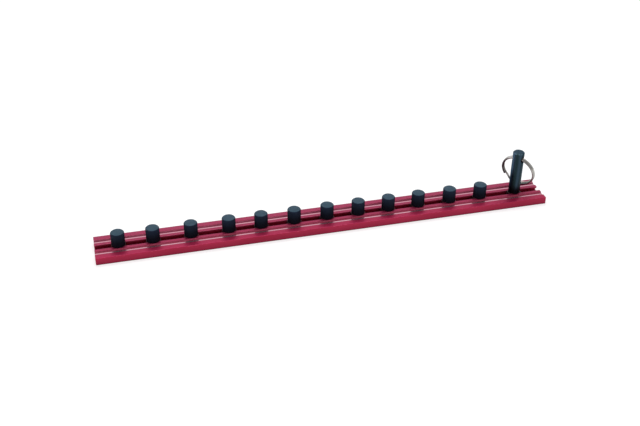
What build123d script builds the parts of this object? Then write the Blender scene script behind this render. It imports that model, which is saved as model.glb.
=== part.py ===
from build123d import *
import math
import os

# Socket rail for one drive size, in millimetres, +Z up.
# Origin: middle of the rail's length and width, on its flat underside.
# X runs along the rail towards the hanging post, Y runs across it towards the back.

# Rail: one aluminium extrusion cut to length
rail_length = 330.2
rail_height = 5.4
flange_width = 4.55
groove_width = 4.0
groove_depth = 0.9
ridge_width = 2.6
slot_width = 5.1
lip_thickness = 1.4
lip_reach = 1.65
cavity_depth = 2.1
outer_edge_radius = 0.45
base_edge_radius = 0.25
ridge_edge_radius = 0.22
groove_corner_radius = 0.3
rail_end_chamfer = 0.2

# Slide foot: the T-shaped nut that runs in the slot, the same under every post
foot_length = 9.8
foot_side_gap = 0.15
foot_height_gap = 0.1
foot_corner_radius = 0.9
foot_edge_chamfer = 0.2

# Ribbed socket post
post_diameter = 9.6
post_height = 10.1
post_top_chamfer = 0.55
post_base_chamfer = 0.12
rib_count = 40
rib_depth = 0.22
ridge_gap = 0.1

# Countersunk screw from the foot up into the post
screw_diameter = 3.0
screw_head_diameter = 5.6
screw_head_rim = 0.25
screw_head_sink = 0.1
screw_hole_gap = 0.1
screw_tip_chamfer = 0.4
thread_engagement = 4.5
thread_gap = 0.04
thread_spare = 0.8
key_width = 2.0
key_depth = 0.9

# Threaded brass insert moulded into the ribbed post
insert_diameter = 4.8
insert_gap = 0.03
insert_neck_width = 1.2
insert_neck_depth = 0.35
insert_edge_chamfer = 0.2

# Hanging post: a plain steel rod with a cross hole for the ring
hang_diameter = 8.5
hang_height = 33.9
hang_top_chamfer = 0.7
hang_base_chamfer = 0.3
hole_drop = 5.1
hole_turn = 50.0
hole_gap = 0.25
hole_edge_chamfer = 0.15

# Split ring: one wire wound twice round, its two layers joined by a short step
ring_mean_diameter = 24.6
wire_diameter = 1.5
turn_gap = 0.43
ring_rest_gap = 0.3
step_place = 129.0
step_half_angle = 14.0
arcs_per_layer = 6

# Stations along the rail, as shares of its length from the left end
post_station_shares = [
    0.05, 0.122, 0.2019, 0.2827, 0.3526, 0.4252,
    0.4986, 0.5689, 0.6381, 0.7076, 0.7812, 0.8546,
]
hang_station_share = 0.9391

# Overrun of a cut past the face that it opens on
overrun = 1.0

# Sizes that follow from those above
rail_width = 2 * (flange_width + groove_width + ridge_width) + slot_width
cavity_width = slot_width + 2 * lip_reach
slot_floor = rail_height - lip_thickness - cavity_depth
foot_bottom = slot_floor + foot_height_gap
foot_base_height = cavity_depth - 2 * foot_height_gap
foot_neck_height = foot_height_gap + lip_thickness + ridge_gap
post_seat = rail_height + ridge_gap
screw_bottom = foot_bottom + screw_head_sink
screw_top = post_seat + thread_engagement
insert_length = thread_engagement + thread_spare
wire_pitch = wire_diameter + turn_gap
ring_radius = ring_mean_diameter / 2
hang_radius = hang_diameter / 2


def make_rail():
    """The extrusion: two flanges, two grooves and the T-slot between two ridges."""
    outline = Rectangle(rail_width, rail_height, align=(Align.CENTER, Align.MIN))
    ridge_outer = slot_width / 2 + ridge_width
    groove_middle = ridge_outer + groove_width / 2
    for side in (-1, 1):
        groove_centre = (side * groove_middle, rail_height - groove_depth)
        outline -= Pos(*groove_centre) * Rectangle(
            groove_width, groove_depth + overrun, align=(Align.CENTER, Align.MIN))
    outline -= Pos(0, slot_floor) * Rectangle(
        slot_width, rail_height, align=(Align.CENTER, Align.MIN))
    outline -= Pos(0, slot_floor) * Rectangle(
        cavity_width, cavity_depth, align=(Align.CENTER, Align.MIN))

    def corners(height, low, high):
        level = [v for v in outline.vertices() if math.isclose(rail_height + v.Y, rail_height + height)]
        return [v for v in level if low <= abs(v.X) <= high]

    flange_inner = rail_width / 2 - flange_width
    outer_reach = rail_width / 2 + overrun
    base = corners(0, flange_inner, outer_reach)
    outline = fillet(base, base_edge_radius)
    outer = corners(rail_height, flange_inner + flange_width / 2, outer_reach)
    outline = fillet(outer, outer_edge_radius)
    inner = corners(rail_height, 0, flange_inner + flange_width / 2)
    outline = fillet(inner, ridge_edge_radius)
    floor = corners(rail_height - groove_depth, 0, outer_reach)
    outline = fillet(floor, groove_corner_radius)
    body = extrude(Plane.YZ * outline, rail_length / 2, both=True)
    ends = body.faces().filter_by(Axis.X)
    rims = [face.outer_wire().edges() for face in ends]
    return chamfer([edge for rim in rims for edge in rim], rail_end_chamfer)


def make_foot():
    """The T-nut: a wide base under the lips and a neck that fills the slot, countersunk from below."""
    base_width = cavity_width - 2 * foot_side_gap
    neck_width = slot_width - 2 * foot_side_gap
    base = extrude(RectangleRounded(foot_length, base_width, foot_corner_radius), foot_base_height)
    base = chamfer(base.faces().sort_by(Axis.Z)[0].outer_wire().edges(), foot_edge_chamfer)
    neck = extrude(RectangleRounded(foot_length, neck_width, foot_corner_radius),
                   foot_base_height + foot_neck_height)
    hole_radius = screw_diameter / 2 + screw_hole_gap
    head_radius = screw_head_diameter / 2 + screw_hole_gap
    rim = screw_head_sink + screw_head_rim + screw_hole_gap
    cone_height = head_radius - hole_radius
    drill = Cylinder(hole_radius, foot_base_height + foot_neck_height + overrun,
                     align=(Align.CENTER, Align.CENTER, Align.MIN))
    counterbore = Cylinder(head_radius, rim, align=(Align.CENTER, Align.CENTER, Align.MIN))
    countersink = Pos(0, 0, rim) * Cone(
        head_radius, hole_radius, cone_height, align=(Align.CENTER, Align.CENTER, Align.MIN))
    return base + neck - drill - counterbore - countersink


def make_screw():
    """Countersunk machine screw, head down, with a hexagon socket in the head."""
    radius = screw_diameter / 2
    head_radius = screw_head_diameter / 2
    length = screw_top - screw_bottom
    outline = Polyline(
        (0, 0),
        (head_radius, 0),
        (head_radius, screw_head_rim),
        (radius, screw_head_rim + head_radius - radius),
        (radius, length - screw_tip_chamfer),
        (radius - screw_tip_chamfer, length),
        (0, length),
        close=True)
    body = revolve(Plane.XZ * make_face(outline), Axis.Z)
    socket = RegularPolygon(key_width / 2, 6, major_radius=False)
    return body - extrude(socket, key_depth)


def make_insert():
    """Brass threaded insert, waisted so that the moulding grips it."""
    outer = insert_diameter / 2
    bore = screw_diameter / 2 + thread_gap
    sleeve = Cylinder(outer, insert_length, align=(Align.CENTER, Align.CENTER, Align.MIN))
    sleeve = chamfer(sleeve.edges().filter_by(GeomType.CIRCLE), insert_edge_chamfer)
    waist = Cylinder(outer + overrun, insert_neck_width) - Cylinder(outer - insert_neck_depth, insert_neck_width)
    sleeve -= Pos(0, 0, insert_length / 2) * waist
    return sleeve - Cylinder(bore, 2 * insert_length + overrun)


def make_cap():
    """Ribbed moulding: upright V ribs all round, chamfered top, pocket for the insert."""
    crest = post_diameter / 2
    valley = crest - rib_depth
    half_step = math.pi / rib_count
    points = []
    for number in range(2 * rib_count):
        reach = crest if number % 2 == 0 else valley
        turn = number * half_step
        points.append((reach * math.cos(turn), reach * math.sin(turn)))
    ribbed = extrude(make_face(Polyline(*points, close=True)), post_height)
    envelope = Cylinder(crest, post_height, align=(Align.CENTER, Align.CENTER, Align.MIN))
    envelope = chamfer(envelope.edges().sort_by(Axis.Z)[-1], post_top_chamfer)
    envelope = chamfer(envelope.edges().sort_by(Axis.Z)[0], post_base_chamfer)
    pocket = Cylinder(insert_diameter / 2 + insert_gap, insert_length + thread_gap,
                      align=(Align.CENTER, Align.CENTER, Align.MIN))
    return (ribbed & envelope) - pocket


def sagitta():
    """How far the ring's curve drops between the middle of the cross hole and its mouth."""
    return ring_radius - math.sqrt(ring_radius ** 2 - hang_radius ** 2)


def cross_hole_radius():
    """Wide enough for both layers of the ring to swing round inside it."""
    half_stack = (wire_pitch + wire_diameter) / 2
    return math.hypot(half_stack, sagitta() + wire_diameter / 2) + hole_gap


def make_hang_post():
    """Plain rod with a cross hole turned towards the front right, tapped from below."""
    rod = Cylinder(hang_radius, hang_height, align=(Align.CENTER, Align.CENTER, Align.MIN))
    rod = chamfer(rod.edges().sort_by(Axis.Z)[-1], hang_top_chamfer)
    rod = chamfer(rod.edges().sort_by(Axis.Z)[0], hang_base_chamfer)
    tapped = Cylinder(screw_diameter / 2 + thread_gap, insert_length,
                      align=(Align.CENTER, Align.CENTER, Align.MIN))
    hole = Pos(0, 0, hang_height - hole_drop) * Rot(0, 0, -hole_turn) * Rot(0, 90, 0) * Cylinder(
        cross_hole_radius(), hang_diameter + overrun)
    rod -= tapped
    drilled = rod - hole
    mouths = (drilled.edges() - rod.edges()).filter_by(GeomType.LINE, reverse=True)
    return chamfer(mouths, hole_edge_chamfer)


def ring_lean(hinge_height):
    """The ring hangs against the back of the post, or lies further back if the rail is in its way."""
    reach = 2 * ring_radius
    offset = wire_pitch / 2
    span = math.hypot(reach, offset)
    clear = ring_rest_gap + wire_diameter / 2
    against_post = math.asin((hang_radius + clear) / span)
    room = hinge_height - rail_height - clear
    over_rail = math.acos(min(1, room / span))
    return max(against_post, over_rail) + math.atan(offset / reach)


def ring_frame(station):
    """Where the ring lies: hinge point, hole direction, ring centre and the plane it lies in."""
    turn = math.radians(hole_turn)
    along = Vector(math.cos(turn), -math.sin(turn), 0)
    back = Vector(math.sin(turn), math.cos(turn), 0)
    hinge = Vector(station, 0, post_seat + hang_height - hole_drop)
    lean = ring_lean(hinge.Z)
    down = Vector(0, 0, -math.cos(lean)) + back * math.sin(lean)
    centre = hinge + down * ring_radius
    return hinge, along, centre, Plane(origin=centre, x_dir=along, z_dir=along.cross(down)), lean


def ring_point(angle, height):
    """A point of the wire's middle line, and its direction, in the ring's own plane."""
    turn = math.radians(angle)
    spot = Vector(ring_radius * math.cos(turn), ring_radius * math.sin(turn), height)
    return spot, Vector(-math.sin(turn), math.cos(turn), 0)


def layer_arcs(first, last, height):
    """One flat layer of the ring as arcs of equal length."""
    arcs = []
    step = (last - first) / arcs_per_layer
    for number in range(arcs_per_layer):
        start = first + number * step
        spots = [ring_point(start + share * step, height)[0] for share in (0, 0.5, 1)]
        arcs.append(Edge.make_three_point_arc(*spots))
    return arcs


def step_arcs(place):
    """The short step between the layers: two arcs that meet in one common direction."""
    begin, begin_way = ring_point(place - step_half_angle, -wire_pitch / 2)
    end, end_way = ring_point(place + step_half_angle, wire_pitch / 2)
    chord = end - begin
    both = begin_way + end_way
    turned = 2 * (1 - begin_way.dot(end_way))
    across = chord.dot(both)
    arm = (math.sqrt(across ** 2 + turned * chord.dot(chord)) - across) / turned
    middle = ((begin + begin_way * arm) + (end - end_way * arm)) * 0.5
    first = Edge.make_tangent_arc(begin, begin_way, middle)
    second = Edge.make_tangent_arc(middle, first % 1, end)
    return [first, second]


def make_ring(station):
    """The wire swept along a straight end, a layer, the step, the second layer and a straight end."""
    setback = math.degrees(2 * wire_diameter / ring_radius)
    first_start = step_place + step_half_angle + setback
    first_stop = step_place + 360 - step_half_angle
    second_start = step_place + 360 + step_half_angle
    second_stop = step_place + 720 - step_half_angle - setback
    start, start_way = ring_point(first_start, -wire_pitch / 2)
    stop, stop_way = ring_point(second_stop, wire_pitch / 2)
    edges = [Edge.make_line(start - start_way * wire_diameter, start)]
    edges += layer_arcs(first_start, first_stop, -wire_pitch / 2)
    edges += step_arcs(step_place + 360)
    edges += layer_arcs(second_start, second_stop, wire_pitch / 2)
    edges += [Edge.make_line(stop, stop + stop_way * wire_diameter)]
    path = Wire(edges)
    section = Plane(origin=path @ 0, z_dir=path % 0) * Circle(wire_diameter / 2)
    tube = sweep(section, path=path)
    report_tube(path, tube)
    return ring_frame(station)[3] * tube


def report_tube(path, tube):
    """Print the wire's least gap to itself and compare its volume with section times length."""
    samples = 720
    spots = [path @ (number / samples) for number in range(samples + 1)]
    spacing = path.length / samples
    skip = math.ceil(2 * wire_diameter / spacing)
    least = min(
        (spots[a] - spots[b]).length
        for a in range(len(spots)) for b in range(a + skip, len(spots)))
    ideal = math.pi * (wire_diameter / 2) ** 2 * path.length
    print(f"ring wire length {path.length:.2f} mm, least gap to itself {least - wire_diameter:.3f} mm")
    print(f"ring volume {tube.volume:.3f} mm3, section times length {ideal:.3f} mm3")


def save(shape, name):
    """Write one node's file."""
    export_step(shape, os.path.join("parts", name + ".step"))


def station_place(share):
    """Distance of a station from the middle of the rail."""
    return (share - 0.5) * rail_length


os.makedirs("parts", exist_ok=True)
save(make_rail(), "rail")

foot = make_foot()
screw = make_screw()
insert = make_insert()
cap = make_cap()
for number, share in enumerate(post_station_shares, start=1):
    place = station_place(share)
    name = f"post_{number:02d}"
    save(Pos(place, 0, foot_bottom) * foot, name + "_foot")
    save(Pos(place, 0, screw_bottom) * screw, name + "_screw")
    save(Pos(place, 0, post_seat) * insert, name + "_insert")
    save(Pos(place, 0, post_seat) * cap, name + "_cap")

hang_place = station_place(hang_station_share)
save(Pos(hang_place, 0, foot_bottom) * foot, "hang_post_foot")
save(Pos(hang_place, 0, screw_bottom) * screw, "hang_post_screw")
save(Pos(hang_place, 0, post_seat) * make_hang_post(), "hang_post")
save(make_ring(hang_place), "split_ring")

hinge, along, centre, plane, lean = ring_frame(hang_place)
print(f"cross hole radius {cross_hole_radius():.3f} mm, ring leans back {math.degrees(lean):.2f} degrees")
print("ring hinge at", [round(value, 3) for value in hinge], "axis", [round(value, 5) for value in along])
print("post stations", [round(station_place(share), 2) for share in post_station_shares], round(hang_place, 2))
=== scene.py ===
import math

import bpy
from mathutils import Matrix, Vector


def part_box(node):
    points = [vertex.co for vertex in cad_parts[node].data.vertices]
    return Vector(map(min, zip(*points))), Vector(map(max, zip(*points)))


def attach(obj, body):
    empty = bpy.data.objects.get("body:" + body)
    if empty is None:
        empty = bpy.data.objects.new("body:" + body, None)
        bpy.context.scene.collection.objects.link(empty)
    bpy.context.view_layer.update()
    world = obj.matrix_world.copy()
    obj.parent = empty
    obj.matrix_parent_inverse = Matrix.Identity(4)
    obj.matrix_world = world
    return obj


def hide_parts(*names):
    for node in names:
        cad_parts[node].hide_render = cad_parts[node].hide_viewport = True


# The looks of the socket rail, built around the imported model.
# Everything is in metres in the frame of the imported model: +X along the rail
# towards the hanging post, +Y across it towards the back, +Z up.

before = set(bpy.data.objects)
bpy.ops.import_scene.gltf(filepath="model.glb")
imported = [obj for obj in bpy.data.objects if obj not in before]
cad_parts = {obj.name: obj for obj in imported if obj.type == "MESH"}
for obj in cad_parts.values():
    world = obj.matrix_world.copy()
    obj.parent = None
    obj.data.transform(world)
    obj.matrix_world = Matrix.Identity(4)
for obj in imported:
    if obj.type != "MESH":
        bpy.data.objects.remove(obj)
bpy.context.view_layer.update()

MM = 0.001
weld_distance = 0.0001 * MM
same_place = 0.001 * MM
level_normal = 0.9

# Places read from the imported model
rail_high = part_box("rail")[1]
rail_top = rail_high.z
hang_low, hang_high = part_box("hang_post")
hang_x = (hang_low.x + hang_high.x) / 2
cap_low, cap_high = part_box("post_01_cap")
post_names = [f"post_{number:02d}" for number in range(1, 13)]

# Profile of the rail, across it from the middle outwards
slot_half = 2.55 * MM
ridge_outer = slot_half + 2.6 * MM
groove_outer = ridge_outer + 4.0 * MM
groove_middle = (ridge_outer + groove_outer) / 2
groove_depth = 0.9 * MM
edge_round = 0.45 * MM

# Ribbed post, with its smooth angle in degrees and its turn from post to post in radians
rib_count = 40
verts_per_rib = 6
rib_depth = 0.22 * MM
post_top_chamfer = 0.55 * MM
post_base_chamfer = 0.12 * MM
post_edge_round = 0.12 * MM
post_edge_segments = 3
post_smooth_angle = 50
pocket_radius = 2.43 * MM
pocket_depth = 5.34 * MM
post_turn_step = 0.7

# Split ring and the rod's cross hole that it hangs in, with the places round the ring in degrees
wire_radius = 0.75 * MM
wire_resolution = 5
wire_steps = 180
wire_end_bevel = 0.12 * MM
wire_end_segments = 2
wire_end_angle = 60
wire_smooth_angle = 40
ring_radius = 12.3 * MM
layer_pitch = 1.57 * MM
hole_drop = 5.1 * MM
hole_radius = 2.533 * MM
hole_turn = math.radians(50)
ring_lean = math.radians(14.68)
step_place = 129
step_half_angle = 14
end_gap_angle = 7

# The ring's own directions at rest: along the hole, down the ring's plane, and off that plane
ring_along = Vector((math.cos(hole_turn), -math.sin(hole_turn), 0))
ring_back = Vector((math.sin(hole_turn), math.cos(hole_turn), 0))
ring_down = Vector((0, 0, -math.cos(ring_lean))) + ring_back * math.sin(ring_lean)
ring_off = ring_along.cross(ring_down)
ring_centre = Vector((hang_x, 0, hang_high.z - hole_drop)) + ring_down * ring_radius

# Studio
white = (1, 1, 1, 1)
sky_tint, sky_strength = (0.96, 0.98, 1.0, 1), 0.50
floor_size, floor_gap = 8, 0.02 * MM
floor_seen, floor_glow, floor_bounce = (0.55, 0.55, 0.55, 1), 0.55, (0.72, 0.72, 0.72, 1)

# The photograph's viewpoint, from a fit to the rail's corners, grooves, posts and rod,
# with the lens and the sensor in millimetres
camera_place = Vector((-149.58, -551.40, 375.50)) * MM
camera_yaw = math.radians(14.6285)
camera_pitch = math.radians(32.7368)
camera_roll = math.radians(0.4496)
camera_lens, camera_sensor = 53.127, 36
camera_reach = (0.01, 50)


def deselect_all():
    """Leave edit mode and clear the selection, so that the next operator acts on its own piece."""
    if bpy.context.object and bpy.context.object.mode != "OBJECT":
        bpy.ops.object.mode_set(mode="OBJECT")
    for obj in list(bpy.context.selected_objects):
        obj.select_set(False)


def activate(obj):
    """Select one object alone."""
    deselect_all()
    bpy.context.view_layer.objects.active = obj
    obj.select_set(True)


def pick(obj, domain, test):
    """In edit mode, select the vertices, edges or faces that pass a test."""
    bpy.ops.object.mode_set(mode="EDIT")
    bpy.ops.mesh.select_mode(type=domain)
    bpy.ops.mesh.select_all(action="DESELECT")
    bpy.ops.object.mode_set(mode="OBJECT")
    mesh = obj.data
    items = {"VERT": mesh.vertices, "EDGE": mesh.edges, "FACE": mesh.polygons}[domain]
    for item in items:
        item.select = test(item)
    bpy.ops.object.mode_set(mode="EDIT")


def finish_mesh(obj, angle):
    """Close a piece's modelling: place in the mesh, outward faces, smooth below the angle."""
    activate(obj)
    bpy.ops.object.transform_apply(location=True, rotation=True, scale=True)
    bpy.ops.object.mode_set(mode="EDIT")
    bpy.ops.mesh.select_all(action="SELECT")
    bpy.ops.mesh.remove_doubles(threshold=weld_distance)
    bpy.ops.mesh.normals_make_consistent(inside=False)
    bpy.ops.object.mode_set(mode="OBJECT")
    bpy.ops.object.shade_smooth_by_angle(angle=math.radians(angle))
    deselect_all()


def fill(tree, socket, value):
    """Link a node's output to a socket, or set a number or colour on it."""
    if isinstance(value, bpy.types.NodeSocket):
        tree.links.new(value, socket)
    else:
        socket.default_value = value


def add_node(tree, kind, **inputs):
    """Add a node and fill its sockets by name, spaces written as underscores."""
    node = tree.nodes.new(kind)
    for name, value in inputs.items():
        fill(tree, node.inputs[name.replace("_", " ")], value)
    return node


class Finish:
    """A procedural material on Object coordinates, with short calls for the nodes it is made of."""

    def __init__(self, name):
        self.material = bpy.data.materials.new(name)
        self.material.use_nodes = True
        self.tree = self.material.node_tree
        self.shader = self.tree.nodes["Principled BSDF"]
        self.coords = self.node("ShaderNodeTexCoord").outputs["Object"]

    def node(self, kind, **inputs):
        return add_node(self.tree, kind, **inputs)

    def set(self, **values):
        """Set the shader's own sockets by name, spaces written as underscores."""
        for name, value in values.items():
            fill(self.tree, self.shader.inputs[name.replace("_", " ")], value)

    def axis(self, name):
        """One of the piece's three coordinates."""
        return self.node("ShaderNodeSeparateXYZ", Vector=self.coords).outputs[name]

    def math(self, operation, *values):
        node = self.node("ShaderNodeMath")
        node.operation = operation
        for socket, value in zip(node.inputs, values):
            fill(self.tree, socket, value)
        return node.outputs[0]

    def plus(self, first, second):
        return self.math("ADD", first, second)

    def minus(self, first, second):
        return self.math("SUBTRACT", first, second)

    def times(self, first, second):
        return self.math("MULTIPLY", first, second)

    def absolute(self, value):
        return self.math("ABSOLUTE", value)

    def hypot(self, first, second):
        squares = self.plus(self.times(first, first), self.times(second, second))
        return self.math("POWER", squares, 0.5)

    def stretched(self, scale, place=(0, 0, 0)):
        """Coordinates scaled along each axis, for a pattern that runs one way."""
        node = self.node("ShaderNodeMapping", Vector=self.coords, Location=place, Scale=scale)
        return node.outputs["Vector"]

    def noise(self, vector, scale=1.0, detail=3.0, roughness=0.5):
        node = self.node("ShaderNodeTexNoise", Vector=vector, Scale=scale, Detail=detail, Roughness=roughness)
        return node.outputs["Fac"]

    def span(self, value, low, high, new_low=0.0, new_high=1.0):
        """Map low..high of a value to new_low..new_high, held at both ends."""
        node = self.node("ShaderNodeMapRange", Value=value, From_Min=low, From_Max=high,
                         To_Min=new_low, To_Max=new_high)
        return node.outputs["Result"]

    def ease(self, value, none, full):
        """A mask that rises smoothly from 0, where the value is none, to 1, where it is full."""
        node = self.node("ShaderNodeMapRange", Value=value, From_Min=none, From_Max=full)
        node.interpolation_type = "SMOOTHSTEP"
        return node.outputs["Result"]

    def mixed(self, kind, factor, first, second):
        node = self.node("ShaderNodeMix")
        node.data_type = kind
        for name, value in (("Factor", factor), ("A", first), ("B", second)):
            fill(self.tree, node.inputs[name], value)
        return node.outputs["Result"]

    def mix(self, factor, first, second):
        """From one number to another."""
        return self.mixed("FLOAT", factor, first, second)

    def blend(self, factor, first, second):
        """From one colour to another."""
        return self.mixed("RGBA", factor, first, second)

    def over(self, colour, paint, where, share):
        """A colour with some paint over it where a mask is, as far as a share."""
        return self.blend(self.times(where, share), colour, paint)

    def bump(self, height, strength, distance):
        node = self.node("ShaderNodeBump", Height=height, Strength=strength, Distance=distance)
        return node.outputs["Normal"]


def paint_grooves(f, red, across, depth):
    """Both grooves over the red: painted light on the walls, painted shade at their feet and on the floor,
    deepest in its corners, and a painted reflection strip along the floor.
    """
    inner_wall_light, outer_wall_light = (0.60, 0.200, 0.290, 1), (0.90, 0.330, 0.470, 1)
    wall_foot_shade = (0.17, 0.024, 0.050, 1)
    groove_floor_shade, groove_corner_shade = (0.24, 0.047, 0.088, 1), (0.085, 0.028, 0.052, 1)
    reflection_strip_dark, reflection_strip_pale = (0.53, 0.27, 0.33, 1), (0.74, 0.44, 0.51, 1)
    strip_middle = groove_middle - 0.20 * MM

    in_depth = f.times(f.ease(depth, 0.08 * MM, 0.25 * MM),
                       f.ease(depth, groove_depth + 0.50 * MM, groove_depth + 0.30 * MM))
    in_width = f.times(f.ease(across, ridge_outer - 0.25 * MM, ridge_outer - 0.10 * MM),
                       f.ease(across, groove_outer + 0.25 * MM, groove_outer + 0.10 * MM))
    in_groove = f.times(in_depth, in_width)
    on_outer_half = f.ease(across, groove_middle - 0.20 * MM, groove_middle + 0.20 * MM)
    low_on_wall = f.ease(depth, 0.60 * MM, 0.88 * MM)
    in_corner = f.ease(across, groove_middle + 0.70 * MM, groove_middle + 1.10 * MM)
    at_wall = f.ease(f.absolute(f.minus(across, groove_middle)), 1.50 * MM, 1.95 * MM)
    along_strip = f.ease(f.absolute(f.minus(across, strip_middle)), 0.68 * MM, 0.28 * MM)
    on_strip = f.times(in_groove, along_strip)

    # Painted light on the groove walls, and painted shade at their feet and over the floor, deepest in its
    # corners
    wall = f.blend(low_on_wall, f.blend(on_outer_half, inner_wall_light, outer_wall_light), wall_foot_shade)
    floor = f.blend(in_corner, groove_floor_shade, groove_corner_shade)
    red = f.over(red, f.blend(at_wall, floor, wall), where=in_groove, share=f.mix(in_corner, 0.70, 0.85))
    # Painted reflection: a pale strip along each groove's floor, where the floor is also smoother and more
    # metallic
    broad_lines = f.noise(f.stretched((9, 900, 900), place=(3, 7, 1)), detail=2.0)
    strip = f.blend(f.span(broad_lines, 0.3, 0.7), reflection_strip_dark, reflection_strip_pale)
    return f.blend(on_strip, red, strip), on_strip


def anodised_rail():
    """Satin red anodising: die lines along the rail and rubbed edges, with painted sheen on the tops, painted
    reflections along the groove floors, painted light on the groove walls and slot lips, and painted shade in
    the slot, the grooves and low on the sides.
    """
    deep_red, bright_red = (0.345, 0.0140, 0.045, 1), (0.440, 0.0245, 0.071, 1)
    front_top_sheen, back_top_sheen = (0.310, 0.012, 0.057, 1), (0.280, 0.032, 0.085, 1)
    ridge_sheen_red = (0.225, 0.026, 0.073, 1)
    die_red = (0.24, 0.012, 0.040, 1)
    rubbed_red = (0.60, 0.16, 0.22, 1)
    rail_low_shade, rail_foot_shadow = (0.20, 0.010, 0.034, 1), (0.12, 0.004, 0.016, 1)
    slot_shade_red, lip_light_red = (0.170, 0.0065, 0.042, 1), (0.52, 0.090, 0.170, 1)
    half_width = rail_high.y

    f = Finish("red anodised aluminium")
    y, z = f.axis("Y"), f.axis("Z")
    across = f.absolute(y)
    depth = f.minus(rail_top, z)
    die_lines = f.noise(f.stretched((15, 4200, 4200)), detail=4.0, roughness=0.6)
    cloud = f.noise(f.stretched((26, 60, 60)))
    grain = f.noise(f.coords, 9000.0, detail=2.0)
    worn = f.ease(f.noise(f.coords, 700.0, detail=4.0), 0.52, 0.68)

    on_top = f.ease(depth, 0.30 * MM, 0.05 * MM)
    on_ridge = f.times(f.ease(across, ridge_outer + 0.30 * MM, ridge_outer), on_top)
    on_edge = f.ease(f.minus(across, depth), half_width - edge_round, half_width - 0.20 * MM)
    on_side = f.ease(across, half_width - 0.50 * MM, half_width)
    low_on_side = f.times(f.span(z, 0.0, rail_top - 1.0 * MM, 1.0, 0.0), on_side)
    at_foot = f.times(f.ease(z, 0.9 * MM, 0.3 * MM), on_side)
    in_cavity = f.times(f.ease(depth, 0.9 * MM, 1.8 * MM), f.ease(z, 0.2 * MM, 0.5 * MM))
    in_slot = f.times(f.ease(across, slot_half + 2.0 * MM, slot_half + 0.1 * MM), in_cavity)
    on_lip = f.times(f.ease(across, slot_half + 0.30 * MM, slot_half + 0.12 * MM),
                     f.ease(depth, 1.2 * MM, 0.5 * MM))

    red = f.blend(f.span(cloud, 0.3, 0.7), deep_red, bright_red)
    # Painted sheen: the top faces take their own paler tone, shifting from front to back, and the ridge tops
    # another, from the light falling on them
    top_sheen_red = f.blend(f.span(y, -12.0 * MM, 12.0 * MM), front_top_sheen, back_top_sheen)
    red = f.over(red, top_sheen_red, where=on_top, share=0.90)
    red = f.over(red, ridge_sheen_red, where=on_ridge, share=0.40)
    red = f.blend(f.span(die_lines, 0.3, 0.75, 0.0, 0.30), red, die_red)
    red = f.over(red, rubbed_red, where=f.times(on_edge, worn), share=0.30)
    # Painted shade: the sides darken towards the bottom, with a painted contact shadow along their foot
    red = f.over(red, rail_low_shade, where=low_on_side, share=0.50)
    red = f.over(red, rail_foot_shadow, where=at_foot, share=0.75)
    # Painted shade down in the slot
    red = f.over(red, slot_shade_red, where=in_slot, share=0.70)
    # Painted light on the slot's upper walls
    red = f.over(red, lip_light_red, where=on_lip, share=0.60)
    red, on_strip = paint_grooves(f, red, across, depth)

    rough = f.span(die_lines, 0.25, 0.75, 0.33, 0.45)
    strip_rough = f.span(die_lines, 0.25, 0.75, 0.14, 0.24)
    lines = f.plus(f.times(die_lines, 0.6), f.times(grain, 0.4))
    f.set(Base_Color=red, Metallic=f.mix(on_strip, 0.55, 0.88), Roughness=f.mix(on_strip, rough, strip_rough))
    f.set(Normal=f.bump(lines, 0.30, 0.012 * MM))
    f.set(Specular_IOR_Level=0.34, Specular_Tint=(0.85, 0.60, 0.70, 1))
    return f.material


def ribbed_nylon():
    """Black nylon moulding with dark valleys and slightly rubbed crests, and painted light: a slate sheen on
    the top, the ribbed side lighter high up and darker low down, painted shade at the base.
    """
    low_side_shade, high_side_light = (0.0036, 0.0036, 0.0074, 1), (0.0185, 0.0250, 0.0510, 1)
    cloud_black = (0.0045, 0.0045, 0.0070, 1)
    valley_black = (0.0012, 0.0014, 0.0022, 1)
    crest_grey = (0.040, 0.050, 0.062, 1)
    painted_base_shade = (0.0010, 0.0010, 0.0014, 1)
    dark_top_sheen, pale_top_sheen = (0.026, 0.055, 0.078, 1), (0.040, 0.074, 0.104, 1)

    f = Finish("black ribbed nylon")
    z = f.axis("Z")
    valley = f.node("ShaderNodeAttribute")
    valley.attribute_name = "valley"
    in_valley = valley.outputs["Fac"]
    cloud = f.noise(f.coords, 260.0)
    grain = f.noise(f.coords, 5200.0, roughness=0.6)
    scuffed = f.ease(f.noise(f.stretched((900, 900, 240)), detail=4.0), 0.58, 0.70)
    on_crest = f.times(scuffed, f.minus(1.0, in_valley))
    on_top = f.ease(z, cap_high.z - 0.10 * MM, cap_high.z - 0.03 * MM)
    high_up = f.ease(z, cap_low.z + 3.0 * MM, cap_high.z - 0.3 * MM)
    near_base = f.ease(z, cap_low.z + 1.3 * MM, cap_low.z + 0.5 * MM)

    # Painted light and shade: the ribbed side lighter and bluer high up, darker low down
    side = f.blend(high_up, low_side_shade, high_side_light)
    side = f.blend(f.span(cloud, 0.35, 0.65, 0.0, 0.35), side, cloud_black)
    side = f.over(side, valley_black, where=in_valley, share=0.70)
    side = f.over(side, crest_grey, where=on_crest, share=0.20)
    # Painted shade near the post's base
    side = f.over(side, painted_base_shade, where=near_base, share=0.70)
    # Painted sheen: the top a paler slate blue than the near-black side, as light from above falls on it
    top_sheen = f.blend(f.span(cloud, 0.3, 0.7), dark_top_sheen, pale_top_sheen)
    f.set(Base_Color=f.blend(on_top, side, top_sheen), Roughness=f.span(grain, 0.3, 0.7, 0.44, 0.58))
    f.set(Normal=f.bump(grain, 0.25, 0.02 * MM))
    f.set(Specular_IOR_Level=0.16, Specular_Tint=(0.35, 0.55, 0.85, 1))
    return f.material


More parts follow.
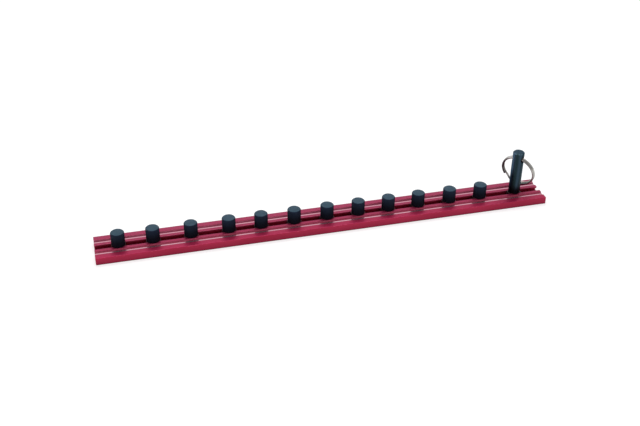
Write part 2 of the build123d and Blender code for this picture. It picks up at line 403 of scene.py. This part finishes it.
def oxide_rod():
    """Black oxide on drawn steel rod: lines along it and turned rings on its top, with painted light: lit and
    shaded streaks round it, a lit left side, a highlight on the right, a sheen on the top and its rim, and
    painted shade towards its base and round the cross hole.
    """
    shaded_streak, lit_streak = (0.012, 0.029, 0.029, 1), (0.036, 0.062, 0.090, 1)
    low_left, high_left = (0.012, 0.021, 0.038, 1), (0.075, 0.125, 0.195, 1)
    right_highlight = (0.090, 0.120, 0.125, 1)
    top_sheen_grey, rim_highlight_and_wear = (0.048, 0.071, 0.094, 1), (0.10, 0.17, 0.22, 1)
    drawn_black = (0.010, 0.016, 0.022, 1)
    painted_base_shade = (0.0035, 0.0025, 0.0035, 1)
    hole_shade = (0.001, 0.001, 0.0015, 1)
    streak_count, streak_start = 5.0, math.radians(210)
    right_line = math.radians(-62)
    turning_pitch = 0.22 * MM

    f = Finish("black oxide rod")
    y, z = f.axis("Y"), f.axis("Z")
    away = f.minus(f.axis("X"), hang_x)
    around = f.math("ARCTAN2", y, away)
    drawn = f.noise(f.stretched((1500, 1500, 14)), detail=4.0, roughness=0.65)
    band = f.noise(f.stretched((330, 330, 4), place=(2, 5, 0)), detail=2.0)
    grain = f.noise(f.coords, 7000.0, detail=2.0)
    worn = f.ease(f.noise(f.coords, 900.0, detail=4.0), 0.45, 0.62)

    on_top = f.ease(z, hang_high.z - 0.10 * MM, hang_high.z - 0.02 * MM)
    on_rim = f.times(f.ease(z, hang_high.z - 0.9 * MM, hang_high.z - 0.6 * MM), f.minus(1.0, on_top))
    near_base = f.ease(z, hang_low.z + 8.0 * MM, hang_low.z + 2.5 * MM)
    sideways = f.plus(f.times(away, math.sin(hole_turn)), f.times(y, math.cos(hole_turn)))
    off_hole = f.hypot(sideways, f.minus(z, hang_high.z - hole_drop))
    in_hole = f.ease(off_hole, hole_radius + 0.25 * MM, hole_radius + 0.10 * MM)
    on_left = f.ease(away, -1.8 * MM, -3.2 * MM)
    off_right = f.absolute(f.minus(around, right_line))
    on_right = f.times(f.ease(off_right, math.radians(15), math.radians(4)),
                       f.ease(z, 34.0 * MM, 30.0 * MM))
    # Painted reflections: lit and shaded streaks at set angles round the rod, over a broad drawn band pattern
    streak = f.math("SINE", f.plus(f.times(around, streak_count), streak_start))
    streak = f.plus(streak, f.span(band, 0.3, 0.7, -0.35, 0.35))

    # Painted light on the left side, fading to shade lower down
    left = f.blend(f.ease(z, 19.0 * MM, 28.0 * MM), low_left, high_left)
    light = f.blend(on_left, lit_streak, left)
    steel = f.blend(f.span(streak, -1.2, 1.2), shaded_streak, light)
    # Painted highlight on the right side
    steel = f.over(steel, right_highlight, where=on_right, share=0.90)
    # Painted sheen on the top face
    steel = f.over(steel, top_sheen_grey, where=on_top, share=0.80)
    steel = f.blend(f.span(drawn, 0.35, 0.75, 0.0, 0.5), steel, drawn_black)
    # Painted highlight on the top's rim, broken up by wear
    steel = f.over(steel, rim_highlight_and_wear, where=f.times(on_rim, worn), share=0.55)
    # Painted shade towards the rod's base
    steel = f.over(steel, painted_base_shade, where=near_base, share=0.90)
    # Painted shade round the cross hole's mouth
    steel = f.over(steel, hole_shade, where=in_hole, share=0.95)

    turned = f.math("SINE", f.times(f.hypot(away, y), 2 * math.pi / turning_pitch))
    lines = f.mix(on_top, f.plus(drawn, f.times(grain, 0.3)), f.span(turned, -1.0, 1.0))
    f.set(Base_Color=steel, Metallic=0.85, Roughness=f.span(drawn, 0.3, 0.7, 0.30, 0.46))
    f.set(Normal=f.bump(lines, 0.25, 0.02 * MM))
    f.set(Specular_IOR_Level=0.3, Specular_Tint=(0.35, 0.45, 0.55, 1))
    return f.material


def oxide_foot():
    """Black oxide on the milled slide feet, with a little bare steel where they rub in the slot, a painted
    red reflection of the slot walls in its tone, and painted shade on the rod's foot.
    """
    dark_oxide_red_reflection, brown_oxide_red_reflection = (0.048, 0.021, 0.027, 1), (0.078, 0.039, 0.046, 1)
    rod_foot_shade = (0.020, 0.009, 0.011, 1)
    bare_steel = (0.20, 0.19, 0.185, 1)

    f = Finish("black oxide foot")
    mill = f.noise(f.stretched((5200, 380, 380)), roughness=0.6)
    cloud = f.noise(f.coords, 480.0)
    rubbed = f.ease(f.noise(f.coords, 1300.0, detail=4.0), 0.60, 0.70)
    under_rod = f.ease(f.absolute(f.minus(f.axis("X"), hang_x)), 9.0 * MM, 7.0 * MM)

    # Black oxide with a painted red reflection of the slot walls in its tone
    steel = f.blend(f.span(cloud, 0.3, 0.7), dark_oxide_red_reflection, brown_oxide_red_reflection)
    steel = f.over(steel, bare_steel, where=rubbed, share=f.mix(under_rod, 0.45, 0.10))
    # Painted shade: the foot under the rod is darker and shows less bare steel
    steel = f.over(steel, rod_foot_shade, where=under_rod, share=0.70)
    f.set(Base_Color=steel, Metallic=0.8, Roughness=f.span(mill, 0.3, 0.7, 0.34, 0.50))
    f.set(Normal=f.bump(mill, 0.2, 0.02 * MM), Specular_IOR_Level=0.3)
    return f.material


def nickel_wire():
    """Nickel plated spring wire with specks, and painted light: one face of the ring lit and the other
    shaded, darker on the left than the right, with painted light and shade in patches.
    """
    left_side_shade, right_side_light = (0.10, 0.088, 0.092, 1), (0.36, 0.345, 0.325, 1)
    lit_face_nickel = (0.62, 0.61, 0.57, 1)
    speck_grey = (0.09, 0.08, 0.085, 1)
    low_left_shade = (0.085, 0.072, 0.070, 1)
    high_right_shade = (0.16, 0.155, 0.150, 1)
    high_left_highlight = (0.62, 0.61, 0.60, 1)

    f = Finish("nickel spring wire")
    x, y, z = f.axis("X"), f.axis("Y"), f.axis("Z")
    face_border_noise = f.noise(f.stretched((1, 1, 1), place=(0.02, 0.01, 0.03)), 140.0)
    specks = f.noise(f.coords, 2600.0, roughness=0.6)
    to_right, to_left = f.minus(x, hang_x), f.minus(hang_x, x)

    # How far a place is off the ring's middle plane, with a ragged border between the painted lit face and
    # the painted shaded face
    off_plane = f.plus(f.times(x, ring_off.x), f.times(y, ring_off.y))
    off_plane = f.minus(f.plus(off_plane, f.times(z, ring_off.z)), ring_centre.dot(ring_off))
    off_plane = f.plus(off_plane, f.span(face_border_noise, 0.35, 0.65, -0.5 * MM, 0.5 * MM))

    low_left = f.times(f.ease(z, hang_high.z - 21.0 * MM, hang_high.z - 23.0 * MM),
                       f.ease(to_left, 2.0 * MM, 4.0 * MM))
    high_right = f.times(f.ease(z, hang_high.z - 12.5 * MM, hang_high.z - 10.5 * MM),
                         f.ease(to_right, 1.5 * MM, 2.5 * MM))
    high_left = f.times(f.ease(z, hang_high.z - 8.5 * MM, hang_high.z - 6.5 * MM),
                        f.ease(to_left, 2.2 * MM, 3.2 * MM))

    # Painted light and shade: the ring darker on its left and paler on its right, with its one face lit and
    # the other shaded
    side_shading = f.blend(f.ease(to_right, 4.0 * MM, 7.5 * MM), left_side_shade, right_side_light)
    metal = f.blend(f.span(off_plane, -1.5 * MM, 1.5 * MM), side_shading, lit_face_nickel)
    metal = f.blend(f.span(specks, 0.55, 0.75, 0.0, 0.4), metal, speck_grey)
    # Painted shade on the lower left of the ring
    metal = f.over(metal, low_left_shade, where=low_left, share=0.75)
    # Painted shade on the upper right of the ring
    metal = f.over(metal, high_right_shade, where=high_right, share=0.60)
    # Painted highlight on the upper left, next to the rod
    metal = f.over(metal, high_left_highlight, where=high_left, share=0.80)
    f.set(Base_Color=metal, Metallic=1.0, Roughness=f.span(specks, 0.3, 0.7, 0.18, 0.32))
    f.set(Normal=f.bump(specks, 0.15, 0.02 * MM), Specular_Tint=(0.45, 0.42, 0.43, 1))
    return f.material


def zinc_plate():
    """Bright zinc plating with a faint blue-grey crystal mottle."""
    pale_zinc, grey_zinc, warm_zinc = (0.60, 0.62, 0.64, 1), (0.46, 0.48, 0.50, 1), (0.56, 0.55, 0.47, 1)

    f = Finish("bright zinc plate")
    cells = f.node("ShaderNodeTexVoronoi", Vector=f.coords, Scale=2400.0).outputs["Distance"]
    mottle = f.noise(f.coords, 420.0, detail=4.0)
    zinc = f.blend(cells, pale_zinc, grey_zinc)
    zinc = f.blend(f.span(mottle, 0.45, 0.75, 0.0, 0.6), zinc, warm_zinc)
    f.set(Base_Color=zinc, Metallic=1.0, Roughness=f.span(mottle, 0.3, 0.7, 0.24, 0.42))
    f.set(Normal=f.bump(cells, 0.08, 0.02 * MM))
    return f.material


def turned_brass():
    """Turned brass: fine rings along Z, slightly dulled."""
    bright_brass, dull_brass = (0.74, 0.54, 0.22, 1), (0.50, 0.34, 0.13, 1)

    f = Finish("turned brass")
    turning = f.noise(f.stretched((60, 60, 6500)), detail=2.0)
    dulled = f.noise(f.coords, 600.0, detail=4.0)
    brass = f.blend(f.span(dulled, 0.35, 0.7), bright_brass, dull_brass)
    f.set(Base_Color=brass, Metallic=1.0, Roughness=f.span(turning, 0.3, 0.7, 0.22, 0.38))
    f.set(Normal=f.bump(turning, 0.2, 0.01 * MM))
    return f.material


def paint_node(name, material):
    """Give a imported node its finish."""
    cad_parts[name].data.materials[0] = material


def at_height(place, height):
    """Whether a point of the post is at a height, to within rounding."""
    return abs(place.z - height) < same_place


def rib_group(vertex):
    """Which of the places across a rib a vertex stands on: 0 is the crest."""
    turn = math.atan2(vertex.co.y, vertex.co.x) % (2 * math.pi)
    return round(turn / (2 * math.pi) * rib_count * verts_per_rib) % verts_per_rib


def size_ring(obj, height, radius_of_group):
    """Bring one ring of the post's vertices to the radius that each of its groups has."""
    for group in range(verts_per_rib):
        def in_group(vertex):
            return at_height(vertex.co, height) and rib_group(vertex) == group

        first = next(vertex for vertex in obj.data.vertices if in_group(vertex))
        factor = radius_of_group(group) / math.hypot(first.co.x, first.co.y)
        pick(obj, "VERT", in_group)
        bpy.ops.transform.resize(value=(factor, factor, 1), center_override=(0, 0, height))
        bpy.ops.object.mode_set(mode="OBJECT")


def model_post(low, high):
    """The ribbed post as moulded, standing on the X origin."""
    crest = (high.x - low.x) / 2
    bottom, top = low.z, high.z
    side_bottom = bottom + post_base_chamfer
    side_top = top - post_top_chamfer
    deselect_all()
    bpy.ops.mesh.primitive_cylinder_add(vertices=rib_count * verts_per_rib, radius=crest,
                                        depth=side_top - side_bottom,
                                        location=(0, 0, (side_top + side_bottom) / 2))
    post = bpy.context.object
    bpy.ops.object.transform_apply(location=True, rotation=True, scale=True)

    def ribbed(group):
        return crest - rib_depth * (1 - math.cos(2 * math.pi * group / verts_per_rib)) / 2

    for height in (side_bottom, side_top):
        size_ring(post, height, ribbed)
    for height, rise, cut in ((side_top, post_top_chamfer, post_top_chamfer),
                              (side_bottom, -post_base_chamfer, post_base_chamfer)):
        pick(post, "FACE", lambda face: at_height(face.center, height) and abs(face.normal.z) > level_normal)
        bpy.ops.mesh.extrude_region_move(TRANSFORM_OT_translate={"value": (0, 0, rise)})
        bpy.ops.object.mode_set(mode="OBJECT")
        size_ring(post, height + rise, lambda group: crest - cut)
    pick(post, "EDGE", lambda edge: all(at_height(post.data.vertices[v].co, top) for v in edge.vertices))
    bpy.ops.mesh.bevel(offset=post_edge_round, segments=post_edge_segments, affect="EDGES")
    bpy.ops.object.mode_set(mode="OBJECT")
    pick(post, "FACE", lambda face: at_height(face.center, bottom))
    bpy.ops.mesh.inset(thickness=crest - post_base_chamfer - pocket_radius)
    bpy.ops.mesh.extrude_region_move(TRANSFORM_OT_translate={"value": (0, 0, pocket_depth)})
    finish_mesh(post, post_smooth_angle)

    # How deep each place of the side lies between the crests, for the nylon's finish
    valley = post.data.attributes.new("valley", "FLOAT", "POINT")
    for vertex in post.data.vertices:
        on_side = side_bottom - same_place < vertex.co.z < side_top + same_place
        reach = math.hypot(vertex.co.x, vertex.co.y)
        valley.data[vertex.index].value = min(1.0, (crest - reach) / rib_depth) if on_side else 0.0
    return post


def ribbed_posts(material):
    """Twelve copies of one post, each turned a little differently, each at its own station."""
    pattern = model_post(*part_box(post_names[0] + "_cap"))
    for number, name in enumerate(post_names):
        low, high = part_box(name + "_cap")
        station = Matrix.Translation(((low.x + high.x) / 2, 0, 0))
        mesh = pattern.data.copy()
        mesh.transform(station @ Matrix.Rotation(post_turn_step * number, 4, "Z"))
        post = bpy.data.objects.new(name + "_ribbed", mesh)
        bpy.context.scene.collection.objects.link(post)
        mesh.materials.clear()
        mesh.materials.append(material)
        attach(post, name + "_slider")
        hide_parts(name + "_cap")
    bpy.data.objects.remove(pattern)


def ring_spot(angle, height):
    """A point of the ring's wire, at an angle round it in degrees and a height off its middle plane."""
    turn = math.radians(angle)
    outwards = ring_along * math.cos(turn) + ring_down * math.sin(turn)
    return ring_centre + outwards * ring_radius + ring_off * height


def split_ring(material):
    """The ring as one wire wound twice, its layers side by side, stepping from one to the other."""
    first = step_place + step_half_angle + end_gap_angle
    last = first + 720 - 2 * (step_half_angle + end_gap_angle)
    crossing = step_place + 360
    curve = bpy.data.curves.new("split_ring_wire", "CURVE")
    curve.dimensions = "3D"
    curve.bevel_depth = wire_radius
    curve.bevel_resolution = wire_resolution
    curve.use_fill_caps = True
    line = curve.splines.new("POLY")
    line.points.add(wire_steps)
    for number in range(wire_steps + 1):
        angle = first + (last - first) * number / wire_steps
        share = min(1.0, max(0.0, (angle - crossing + step_half_angle) / (2 * step_half_angle)))
        height = (share * share * (3 - 2 * share) - 0.5) * layer_pitch
        line.points[number].co = (*ring_spot(angle, height), 1)
    ring = bpy.data.objects.new("split_ring_wire", curve)
    bpy.context.scene.collection.objects.link(ring)
    activate(ring)
    bpy.ops.object.convert(target="MESH")
    ring = bpy.context.object
    bevel = ring.modifiers.new("wire ends", "BEVEL")
    bevel.width = wire_end_bevel
    bevel.segments = wire_end_segments
    bevel.limit_method = "ANGLE"
    bevel.angle_limit = math.radians(wire_end_angle)
    bpy.ops.object.modifier_apply(modifier=bevel.name)
    finish_mesh(ring, wire_smooth_angle)
    ring.data.materials.clear()
    ring.data.materials.append(material)
    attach(ring, "ring_body")
    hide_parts("split_ring")


def by_ray(tree, lighting, seen):
    """One shader for the light on the object, another for camera, glossy and transmission rays."""
    path = tree.nodes.new("ShaderNodeLightPath")
    looking = path.outputs["Is Camera Ray"]
    for name in ("Is Glossy Ray", "Is Transmission Ray"):
        add = tree.nodes.new("ShaderNodeMath")
        add.operation = "ADD"
        add.use_clamp = True
        tree.links.new(looking, add.inputs[0])
        tree.links.new(path.outputs[name], add.inputs[1])
        looking = add.outputs[0]
    mix = add_node(tree, "ShaderNodeMixShader", Fac=looking)
    tree.links.new(lighting.outputs[0], mix.inputs[1])
    tree.links.new(seen.outputs[0], mix.inputs[2])
    return mix.outputs[0]


def make_world():
    """Even soft light, with a white background for what looks at it."""
    world = bpy.data.worlds.new("studio")
    bpy.context.scene.world = world
    world.use_nodes = True
    tree = world.node_tree
    tree.nodes.clear()
    sky = add_node(tree, "ShaderNodeBackground", Color=sky_tint, Strength=sky_strength)
    background = add_node(tree, "ShaderNodeBackground", Color=white, Strength=1.0)
    add_node(tree, "ShaderNodeOutputWorld", Surface=by_ray(tree, sky, background))


def make_floor():
    """A plain pale floor that keeps the object's shadow on a white ground."""
    deselect_all()
    bpy.ops.mesh.primitive_plane_add(size=floor_size, location=(0, 0, -floor_gap))
    floor = bpy.context.object
    floor.name = "floor"
    material = bpy.data.materials.new("pale studio floor")
    material.use_nodes = True
    tree = material.node_tree
    tree.nodes.clear()
    shaded = add_node(tree, "ShaderNodeBsdfDiffuse", Color=floor_seen)
    glow = add_node(tree, "ShaderNodeEmission", Strength=floor_glow)
    seen = tree.nodes.new("ShaderNodeAddShader")
    tree.links.new(shaded.outputs[0], seen.inputs[0])
    tree.links.new(glow.outputs[0], seen.inputs[1])
    bounce = add_node(tree, "ShaderNodeBsdfDiffuse", Color=floor_bounce)
    add_node(tree, "ShaderNodeOutputMaterial", Surface=by_ray(tree, bounce, seen))
    floor.data.materials.append(material)


def soft_box(name, place, size, power, tint):
    """A soft box light at a place, turned towards the middle of the rail."""
    data = bpy.data.lights.new(name, "AREA")
    data.shape = "RECTANGLE"
    data.size, data.size_y = size
    data.energy = power
    data.color = tint
    lamp = bpy.data.objects.new(name, data)
    lamp.location = place
    lamp.rotation_euler = (-Vector(place)).to_track_quat("-Z", "Y").to_euler()
    bpy.context.scene.collection.objects.link(lamp)


def make_camera():
    """The camera at the photograph's viewpoint."""
    level = math.cos(camera_pitch)
    right = Vector((math.cos(camera_yaw), -math.sin(camera_yaw), 0))
    forward = Vector((math.sin(camera_yaw) * level, math.cos(camera_yaw) * level, -math.sin(camera_pitch)))
    up = right.cross(forward)
    side = right * math.cos(camera_roll) + up * math.sin(camera_roll)
    top = up * math.cos(camera_roll) - right * math.sin(camera_roll)
    data = bpy.data.cameras.new("camera")
    data.sensor_width = camera_sensor
    data.lens = camera_lens
    data.clip_start, data.clip_end = camera_reach
    camera = bpy.data.objects.new("camera", data)
    turn = Matrix((side, top, -forward)).transposed().to_4x4()
    camera.matrix_world = Matrix.Translation(camera_place) @ turn
    bpy.context.scene.collection.objects.link(camera)
    bpy.context.scene.camera = camera


anodising = anodised_rail()
nylon = ribbed_nylon()
oxide = oxide_rod()
milled_oxide = oxide_foot()
nickel = nickel_wire()
zinc = zinc_plate()
brass = turned_brass()

paint_node("rail", anodising)
paint_node("hang_post", oxide)
for post_name in post_names + ["hang_post"]:
    paint_node(post_name + "_foot", milled_oxide)
    paint_node(post_name + "_screw", zinc)
for post_name in post_names:
    paint_node(post_name + "_insert", brass)
ribbed_posts(nylon)
split_ring(nickel)

make_world()
make_floor()
soft_box("key box", place=(-0.40, -0.30, 1.20), size=(0.9, 0.9), power=3.2, tint=(1.0, 0.99, 0.97))
soft_box("top box", place=(0.10, 0.15, 1.40), size=(1.2, 0.6), power=3.0, tint=(0.97, 0.98, 1.0))
soft_box("back box", place=(0.15, 0.65, 1.05), size=(1.2, 0.5), power=4.8, tint=(1.0, 1.0, 1.0))
make_camera()

bpy.context.scene.view_settings.view_transform = "Standard"
